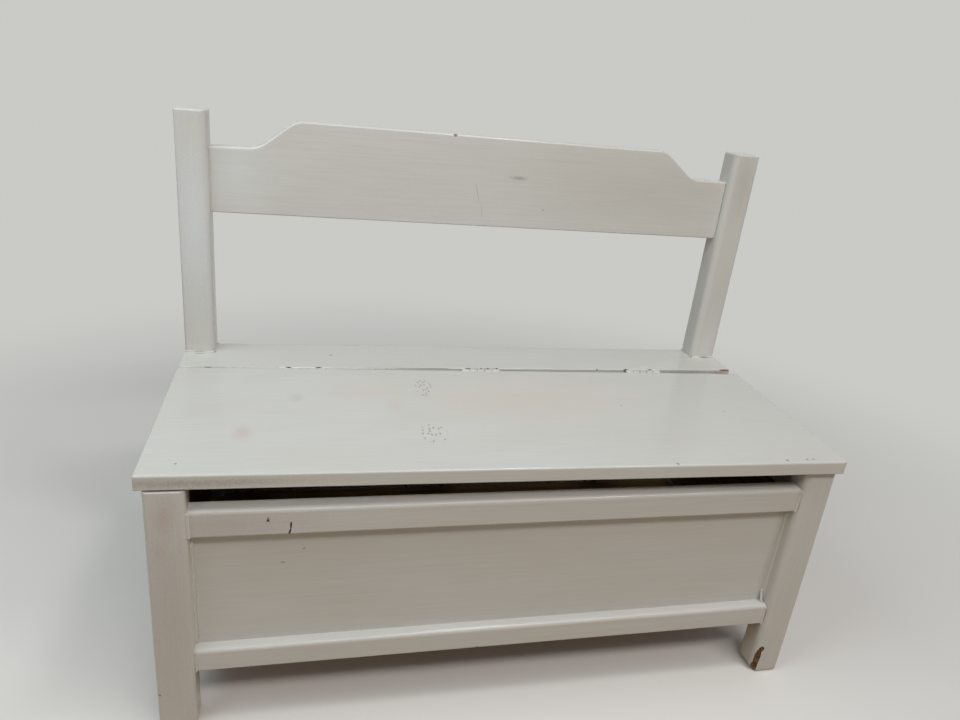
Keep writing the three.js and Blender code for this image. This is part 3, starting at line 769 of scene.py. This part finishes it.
# %% Model the backrest
low, high = node_box("backrest_board")
END_TOP = 558.0
CREST = (-233.0, 237.0)
FOOT = (-276.0, 280.0)
REST_TENON, LEFT_END, LEFT_DROP = 13.5, -320.0, 1.6
low.z -= 1.3
rest = block("backrest", (low.x + REST_TENON, low.y, low.z), (high.x - REST_TENON, high.y, high.z))
cut_at(rest, "X", (*CREST, *FOOT))
pick(rest, "VERT", lambda at: at.z > high.z - 1 and abs(at.x) > -FOOT[0] - 1)
bpy.ops.transform.translate(value=(0, 0, (END_TOP - high.z) * MM))
bpy.ops.object.mode_set(mode="OBJECT")
pick(rest, "VERT", lambda at: at.z > END_TOP - 1 and at.x < LEFT_END)
bpy.ops.transform.translate(value=(0, 0, -LEFT_DROP * MM))
bpy.ops.object.mode_set(mode="OBJECT")
pick(rest, "EDGE", lambda m, d: abs(d.y) > 0.9 and m.z > END_TOP - 1 and abs(m.x) < FOOT[1] + 1)
bpy.ops.mesh.bevel(offset=9 * MM, segments=5, affect="EDGES")
bpy.ops.mesh.select_all(action="SELECT")
bpy.ops.mesh.dissolve_limited(angle_limit=math.radians(1))
bpy.ops.object.mode_set(mode="OBJECT")
rows = [
    (lambda m, d: abs(d.y) < 0.1 and abs(d.z) < 0.95 and m.z > low.z + 1
     and (abs(m.y - low.y) < 0.5 or abs(m.y - high.y) < 0.5) and m.z > END_TOP - 3, 2.6),
    (lambda m, d: abs(d.x) > 0.9 and m.z < low.z + 1, 1.8),
]
round_arrises(rest, rows, 4)
cut_across(rest, "X", 10)
cut_across(rest, "Z", 10)
wobble(rest, 0.4)
# The broad darker patch over the right half is painted shade and the pale patch at the left end is painted
# light; the rest are a scratch line, a chip, fine scratches and a dent.
backrest_wear_light_and_shade = [
    mark((220, 146, 540), (240, 10, 90), "#BDB5AB", 0.45, 0, 0, 1.4),
    mark((-300, 146, 530), (60, 10, 70), "#E2E6E6", 0.7, 0, 0, 1.4),
    mark((40.6, 145.2, 544), (15, 3, 3.6), "#7E7C77", 0.5, 0, 0, 1.0),
    mark((-45, 145.2, 590), (2.6, 6, 1.8), "#5A4A3A", 0.85, 2.0),
    mark((-11, 145.2, 523), (0.7, 2, 15), "#8A8883", 0.45, 0, -14, 0.6),
    mark((-3, 145.2, 499), (0.6, 2, 14), "#8A8883", 0.35, 0, -10, 0.6),
    mark((78, 145.2, 506), (1.2, 2, 1.0), "#7C7972", 0.6, 1.0),
]
rest_paint = brushed_paint("backrest_paint_and_painted_light", "X", backrest_wear_light_and_shade)
smooth(rest)
hand_in(rest, rest_paint, FRAME, "painted_wood", "backrest_board")

# %% [markdown]
# ## Seat strip
# Behind the lid a fixed strip of the same board runs round the front of the posts. Its middle starts as
# a block between the posts, and the two ends are extruded sideways in front of them. Short slots along
# its front arris are the open ends of the hinge mortises, where the paint has not bridged the gap;
# they are coloured near-black, which is painted shade.

# %% Model the seat strip
low, high = node_box("seat_strip")
NOTCH_X, NOTCH_Y = 329.7, 135.4
END_LEFT, END_RIGHT, NEAR_END = -367.6, 368.6, 366.0
strip = block("rear_strip", (-NOTCH_X, low.y, low.z), (NOTCH_X, high.y, high.z))
cut_at(strip, "Y", [NOTCH_Y])
for sign, end in ((-1, END_LEFT), (1, END_RIGHT)):
    pick(strip, "FACE", lambda at, n: n.x * sign > 0.9 and at.y < NOTCH_Y)
    bpy.ops.mesh.extrude_region_move(TRANSFORM_OT_translate={"value": ((end - sign * NOTCH_X) * MM, 0, 0)})
    bpy.ops.object.mode_set(mode="OBJECT")


def on_front_or_end(m):
    """Whether an edge's middle lies on the strip's front face or on one of its ends."""
    return m.y < low.y + 1 or abs(m.x) > NEAR_END


rows = [
    (lambda m, d: abs(d.z) > 0.9 and abs(m.x) > NOTCH_X + 1, 4.0),
    (lambda m, d: abs(d.z) < 0.1 and m.z > high.z - 1 and m.y < NOTCH_Y and on_front_or_end(m), 1.6),
    (lambda m, d: abs(d.z) < 0.1 and m.z > high.z - 1 and m.y > high.y - 1, 3.0),
    (lambda m, d: abs(d.z) < 0.1 and m.z < low.z + 1 and (on_front_or_end(m) or m.y > high.y - 1), 2.0),
]
round_arrises(strip, rows, 4)
cut_across(strip, "X", 10)
cut_across(strip, "Y", 10)
wobble(strip, 0.35)
SLOTS = ((-240.5, 4.6), (-204.0, 5.0), (-13.5, 5.0), (3.7, 2.0), (12.8, 2.2), (24.6, 3.0), (208.5, 4.5),
         (244, 4))
# Each slot and the arris round it is coloured near-black: painted shade in the open gap.
crevice_shade = [mark((x, 88.6, 304.2), (half, 2.2, 3.6), "#1E1B17", 1.0) for x, half in SLOTS]
# The long near-white line along the front arris at the left is a painted highlight. At the right end the
# mauve-grey band on the front face is painted shade and the pink patch is a painted reflection. The other
# marks are a dent, cracks at the posts and chips.
strip_wear_and_painted_light = crevice_shade + [
    mark((-215, 89.0, 304.8), (140, 1.0, 2.2), "#F8F8F4", 1.0, 0, 0, 0.5),
    mark((-188.1, 129.0, 306), (3.0, 3.6, 2), "#85837B", 0.6, 0.5, 0, 0.7),
    mark((-348.5, 131.0, 306), (7, 0.9, 2), "#6C685F", 0.85, 2),
    mark((351.4, 134.6, 306), (7, 0.9, 2), "#5C574E", 0.9, 2),
    mark((-334, 89.4, 306), (6, 0.8, 2), "#55514A", 0.7, 1),
    mark((165.8, 89.3, 305.5), (1.4, 1.2, 2), "#3F3B36", 0.8, 2),
    mark((352, 88.6, 301.0), (24, 2, 5), "#B98C8A", 0.75, 0, 0, 1.0),
    mark((300, 88.6, 302.0), (60, 2, 6), "#A8999C", 0.5, 0, 0, 1.0),
]
strip_paint = brushed_paint("seat_strip_paint_and_painted_light", "X", strip_wear_and_painted_light)
strip.data.materials.append(strip_paint)
for number, (x, half) in enumerate(SLOTS):
    scoop(strip, (x, 88.8, 305.0), (half, 1.7, 5.0), (0, 0, 0), strip_paint, number)
scoop(strip, (359.5, 88.6, 305.8), (12.5, 2.1, 1.8), (0, 0, 0), dirty_pine, 9)
smooth(strip)
hand_in(strip, strip_paint, FRAME, "painted_wood", "seat_strip")

# %% [markdown]
# ## Lid
# The lid is one board that lies a little out of square with the frame: its rear edge almost touches
# the strip at the left and stands about a centimetre off it at the right. It is built square, turned
# about its middle, tapered a little at its rear, and then cut back round the three hinge barrels with
# round cutters, because a real lid hugs the barrel that it turns about.

# %% Model the lid
LID_LENGTH, LID_DEPTH, OUT_OF_SQUARE, TAPER = 740.0, 247.0, 8.5, 2.6
low, high = node_box("lid")
centre = (low + high) / 2
half = Vector((LID_LENGTH / 2, LID_DEPTH / 2, (high.z - low.z) / 2))
lid = block("lid_board", centre - half, centre + half)
rows = [
    (lambda m, d: abs(d.z) > 0.9 and m.x > 0, 6.0),
    (lambda m, d: abs(d.z) > 0.9, 2.2),
    (lambda m, d: m.z > high.z - 1 and m.y > 0 and abs(m.x) < 300, 1.6),
    (lambda m, d: m.z > high.z - 1, 2.6),
    (lambda m, d: True, 1.2),
]
round_arrises(lid, rows, 5)
cut_across(lid, "X", 8)
cut_across(lid, "Y", 8)
wobble(lid, 0.35)
only(lid)
bpy.context.scene.cursor.location = centre * MM
bpy.ops.object.origin_set(type="ORIGIN_CURSOR")
lid.rotation_euler = (0, 0, -math.asin(OUT_OF_SQUARE / LID_LENGTH))
bpy.ops.object.transform_apply(location=True, rotation=True, scale=True)
for vertex in lid.data.vertices:
    along = vertex.co.x / (LID_LENGTH * MM) + 0.5
    vertex.co.y -= TAPER * MM * along * max(0.0, vertex.co.y + 0.04) / 0.12
AXIS_Y, AXIS_Z = 84.917, 302.5
HINGES = {"left": -220.96, "middle": 2.0, "right": 231.03}
HALF_LEAF, BARREL, ROOM = 25.0, 4.0, 0.3


def rod(middle, radius, length, vertices=40):
    """A cylinder on the hinge axis, in millimetres."""
    bpy.ops.object.select_all(action="DESELECT")
    bpy.ops.mesh.primitive_cylinder_add(vertices=vertices, radius=radius * MM, depth=length * MM,
                                        rotation=(0, math.pi / 2, 0),
                                        location=(middle * MM, AXIS_Y * MM, AXIS_Z * MM))
    return bpy.context.object


for middle in HINGES.values():
    reach = HALF_LEAF + ROOM
    cut_out(lid, rod(middle, BARREL + ROOM, 2 * reach))
    cut_out(lid, block("leaf_room", (middle - reach, 80.6, 280), (middle + reach, 100, AXIS_Z)))
# The near-white line along the rear arris at the left is a painted highlight, the pink patch on the rear
# arris at the right is a painted reflection, and the broad darker patch over the left of the front face is
# painted shade. The small grey spots along the front arris and on the top are chips and dents.
lid_wear_and_painted_light = [
    mark((-235, 86.2, 305.2), (100, 1.6, 2.0), "#F8F8F4", 1.0, 0, 0, 0.5),
    mark((-282, -80.8, 306), (14, 20, 3), "#C4A09A", 0.35, 0, 0, 1.0),
    mark((-337, -138.8, 306), (1.1, 1.6, 2), "#86837B", 0.7, 2),
    mark((155, -21.8, 306), (1.1, 1.6, 2), "#86837B", 0.7, 2),
    mark((284, -40.8, 306), (1.1, 1.6, 2), "#86837B", 0.7, 2),
    mark((-230, 2.2, 306), (12, 16, 3), "#B5B2A9", 0.3, 0, 0, 1.0),
    mark((350, 76.0, 304), (26, 5.0, 6), "#C79C99", 0.75, 0, 0, 0.8),
    mark((-120, -20, 306), (14, 26, 3), "#CBB5A6", 0.25, 0, 0, 1.0),
    mark((40, 0, 306), (190, 90, 8), "#D8C6B4", 0.4, 0, 0, 1.2),
    mark((-150, 20, 306), (60, 40, 8), "#D8C9B4", 0.3, 0, 0, 1.2),
    mark((-330, -163, 297), (150, 8, 7), "#988C82", 0.8, 0, 0, 1.2),
    mark((-220, -166, 305.5), (1.6, 2.4, 1.5), "#7C776E", 0.7, 2),
    mark((-172, -165.6, 305.5), (3.4, 2.2, 1.5), "#7C776E", 0.6, 2),
    mark((-158, -165.4, 305.5), (2.2, 2.2, 1.5), "#7C776E", 0.6, 2),
    mark((161, -162, 305.5), (1.6, 2.2, 1.5), "#7C776E", 0.7, 2),
    mark((294, -160.4, 305.5), (1.8, 2.0, 1.5), "#75716A", 0.75, 2),
    mark((319, -160.0, 305.5), (1.4, 2.0, 1.5), "#75716A", 0.7, 2),
    mark((327, -159.8, 305.5), (2.4, 1.6, 1.5), "#75716A", 0.6, 2),
]
lid_dents = [
    ((-81, 31.2, 306), (11, 27, 6), (3.4, 8.5, 10)),
    ((-87, -86.8, 306), (15, 22, 6), (4.4, 8.5, 10)),
]
lid_paint_and_painted_light = brushed_paint("lid_paint_and_painted_light", "X", lid_wear_and_painted_light, lid_dents)
smooth(lid)
hand_in(lid, lid_paint_and_painted_light, LID, "painted_wood", "lid")

# %% [markdown]
# ## Hinges
# Three steel butt hinges lie in the joint. Each has two thin leaves and five knuckles that share a pin;
# the odd knuckles belong to the strip's leaf and the even ones to the lid's. One knuckle is a short
# cylinder with its rims eased. The leaf is a thin plate. They are joined to one piece for each side.

# %% Model the hinge leaves
KNUCKLE, KNUCKLE_GAP, LEAF_FOOT = 10.0, 0.35, 290.5


def knuckle(middle):
    """One knuckle of the barrel, with eased rims."""
    piece = rod(middle, BARREL, KNUCKLE - KNUCKLE_GAP)
    bpy.ops.object.transform_apply(location=True, rotation=True, scale=True)
    apply_modifier(piece, "BEVEL", width=0.6 * MM, segments=3, limit_method="ANGLE",
                   angle_limit=math.radians(60))
    return piece


def leaf(name, middle, faces, numbers):
    """A plate with its knuckles. The faces are the plate's two Y values."""
    left, right = middle - HALF_LEAF, middle + HALF_LEAF
    plate = block(name, (left, faces[0], LEAF_FOOT), (right, faces[1], AXIS_Z))
    apply_modifier(plate, "BEVEL", width=0.4 * MM, segments=2, limit_method="ANGLE")
    only(plate, *[knuckle(left + KNUCKLE * (number + 0.5)) for number in numbers])
    bpy.ops.object.join()
    return plate


# The strip's near-black slot marks lie on the knuckles too, as painted shade; the grey patches on the barrels
# are rubbed paint.
rubbed = [mark((x, 85, 304), (30, 8, 5), "#8F8C84", 0.45, 0, 0, 1.0) for x in HINGES.values()]
hinge_paint = brushed_paint("painted_zinc_steel_and_slot_shade", "X", rubbed + crevice_shade)
for name, middle in HINGES.items():
    for board, faces, numbers, body in (("strip", (87.42, 88.92), (0, 2, 4), FRAME),
                                        ("lid", (80.92, 82.42), (1, 3), LID)):
        piece = leaf(f"butt_{name}_{board}_leaf", middle, faces, numbers)
        smooth(piece)
        hand_in(piece, hinge_paint, body, "painted_steel", f"hinge_{name}_{board}_leaf")

# %% [markdown]
# ## Filler in the joints
# Before the last coat the joints were run with acrylic filler, and it has dried as lumpy white beads: up
# the ends of the front rails and the panel, round the feet of the posts where it has cracked, beside the
# ends of the backrest, and as a thread along the front arris of the strip, clear of the opening lid. A
# bead is a thin cylinder, cut into short slices, whose points are moved in and out by noise.

# %% Beads of filler
filler, tree, place = blank_material("acrylic_filler")
lumps = add(tree, "TexNoise", {"Vector": place, "Scale": 1 / (1.4 * MM), "Detail": 2.0})
tone = blend(tree, lumps.outputs[0], "#E0DFDA", "#CFCDC5")
bump = add(tree, "Bump", {"Height": lumps.outputs[0], "Distance": 0.0004})
shader = add(tree, "BsdfPrincipled", {"Base Color": tone, "Roughness": 0.35, "Normal": bump.outputs[0]})
add(tree, "OutputMaterial", {0: shader.outputs[0]})


def bead(start, end, radius):
    """A lumpy bead between two points. All lengths are in millimetres."""
    start, end = Vector(start), Vector(end)
    bpy.ops.object.select_all(action="DESELECT")
    bpy.ops.mesh.primitive_cylinder_add(vertices=8, radius=radius * MM, depth=(end - start).length * MM)
    piece = bpy.context.object
    cut_across(piece, "Z", 1.3)
    for vertex in piece.data.vertices:
        lump = noise.noise((vertex.co / MM + start) * 0.45) + 0.5 * noise.noise((vertex.co / MM - end) * 1.1)
        vertex.co.xy *= 0.85 + 0.75 * lump
    piece.location = (start + end) / 2 * MM
    piece.rotation_euler = (end - start).to_track_quat("Z", "Y").to_euler()
    bpy.ops.object.transform_apply(location=True, rotation=True, scale=True)
    return piece


LEG_IN, RAIL_FRONT, PANEL_FRONT = 326.5, -157.3, -145.3
POST_IN, POST_FRONT, REST_FRONT = 330.0, 135.7, 145.2
runs = {"front": [], "posts": [], "joint": []}
for sign in (-1, 1):
    leg_x, post_x = sign * LEG_IN, sign * POST_IN
    runs["front"] += [
        ((leg_x, RAIL_FRONT, 236), (leg_x, RAIL_FRONT, 263), 1.9),
        ((leg_x, PANEL_FRONT, 101), (leg_x, PANEL_FRONT, 235), 2.7),
        ((leg_x, RAIL_FRONT, 73), (leg_x, RAIL_FRONT, 98), 1.6),
    ]
    runs["posts"] += [
        ((post_x, REST_FRONT, 483), (post_x, REST_FRONT, 555), 1.2),
        ((post_x, POST_FRONT + 2, SEAT_Z), (post_x, 166, SEAT_Z), 1.1),
        ((sign * 331, POST_FRONT, SEAT_Z), (sign * 343, POST_FRONT, SEAT_Z), 1.4),
        ((sign * 354, POST_FRONT, SEAT_Z), (sign * 366, POST_FRONT, SEAT_Z), 1.5),
    ]
runs["front"].append(((323.5, RAIL_FRONT + 8, 102), (323.0, PANEL_FRONT, 116), 2.4))
runs["joint"] += [
    ((-352, 89.9, 305.5), (-251, 89.9, 305.5), 0.5),
    ((-192, 89.9, 305.5), (-40, 89.9, 305.5), 0.5),
    ((-8, 90.0, 305.7), (2, 90.0, 305.7), 0.6),
    ((6, 90.0, 305.7), (11, 90.0, 305.7), 0.6),
    ((15, 90.0, 305.7), (22, 90.0, 305.7), 0.6),
]
for name, rows in runs.items():
    beads = [bead(*row) for row in rows]
    only(*beads)
    bpy.ops.object.join()
    piece = beads[0]
    piece.name = f"filler_{name}"
    smooth(piece, 60)
    hand_in(piece, filler, FRAME, "painted_wood")

# %% [markdown]
# ## Screws and pins
# A countersunk screw is turned on a lathe: a profile is spun round its axis. Then the cross recess is
# cut into its head. It is made once and each copy gets its own mesh, scaled to its CAD node. A hinge
# pin is a rod with domed ends.


# %% Model one screw and copy it
def lathe_screw(name, head, shank, length):
    """A countersunk screw along +Y with the top of its head at zero, in millimetres."""
    bpy.ops.object.select_all(action="DESELECT")
    bpy.ops.mesh.primitive_cone_add(vertices=32, radius1=head * MM, radius2=shank * MM, depth=head * 0.5 * MM,
                                    rotation=(-math.pi / 2, 0, 0), location=(0, head * 0.25 * MM, 0))
    piece = bpy.context.object
    piece.name = name
    bpy.ops.object.transform_apply(location=True, rotation=True, scale=True)
    pick(piece, "FACE", lambda at, n: n.y > 0.9)
    bpy.ops.mesh.extrude_region_move(TRANSFORM_OT_translate={"value": (0, (length - head * 1.5) * MM, 0)})
    bpy.ops.mesh.extrude_region_move(TRANSFORM_OT_translate={"value": (0, head * MM, 0)})
    bpy.ops.transform.resize(value=(0.1, 1, 0.1))
    bpy.ops.object.mode_set(mode="OBJECT")
    for wide, tall in ((head * 0.52, head * 0.11), (head * 0.11, head * 0.52)):
        cut_out(piece, block("bit", (-wide, -1, -tall), (wide, head * 0.35, tall)))
    return piece


PIN = 1.9
made = 0
for node in sorted(frame["nodes"]):
    if "screw" not in node:
        continue
    low, high = node_box(node)
    spread = high - low
    index = max(range(3), key=lambda i: spread[i])
    length = spread[index]
    head = min(spread) / 2
    made += 1
    piece = lathe_screw(node.replace("screw", "woodscrew"), head, head * 0.5, length)
    middle = (low + high) / 2
    if index == 2:
        start, turn = Vector((middle.x, middle.y, low.z)), (math.pi / 2, 0, 0)
    elif index == 0:
        leftwards = middle.x < 0
        start = Vector((high.x if leftwards else low.x, middle.y, middle.z))
        turn = (0, 0, math.pi / 2 if leftwards else -math.pi / 2)
    else:
        forwards = "front" in node or "_lid_" in node
        start = Vector((middle.x, high.y if forwards else low.y, middle.z))
        turn = (0, 0, math.pi if forwards else 0)
    piece.location = start * MM
    piece.rotation_euler = turn
    only(piece)
    bpy.ops.object.transform_apply(location=True, rotation=True, scale=True)
    bpy.ops.object.shade_smooth_by_angle(angle=math.radians(35))
    hand_in(piece, screw_steel, LID if "_lid_" in node else FRAME, "steel", node)
for name, middle in HINGES.items():
    piece = rod(middle, PIN, 2 * HALF_LEAF, 32)
    piece.name = f"pin_{name}"
    bpy.ops.object.transform_apply(location=True, rotation=True, scale=True)
    apply_modifier(piece, "BEVEL", width=0.9 * MM, segments=3, limit_method="ANGLE",
                   angle_limit=math.radians(60))
    bpy.ops.object.shade_smooth_by_angle(angle=math.radians(35))
    hand_in(piece, screw_steel, FRAME, "steel", f"hinge_{name}_pin")
print("screws:", made)

# %% Write the sizes and finish
new_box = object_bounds()
boxes = {"cad": [list(corner) for corner in cad_box], "visual": [list(corner) for corner in new_box]}
for name, corners in boxes.items():
    print(name, [[round(value / MM, 1) for value in corner] for corner in corners])
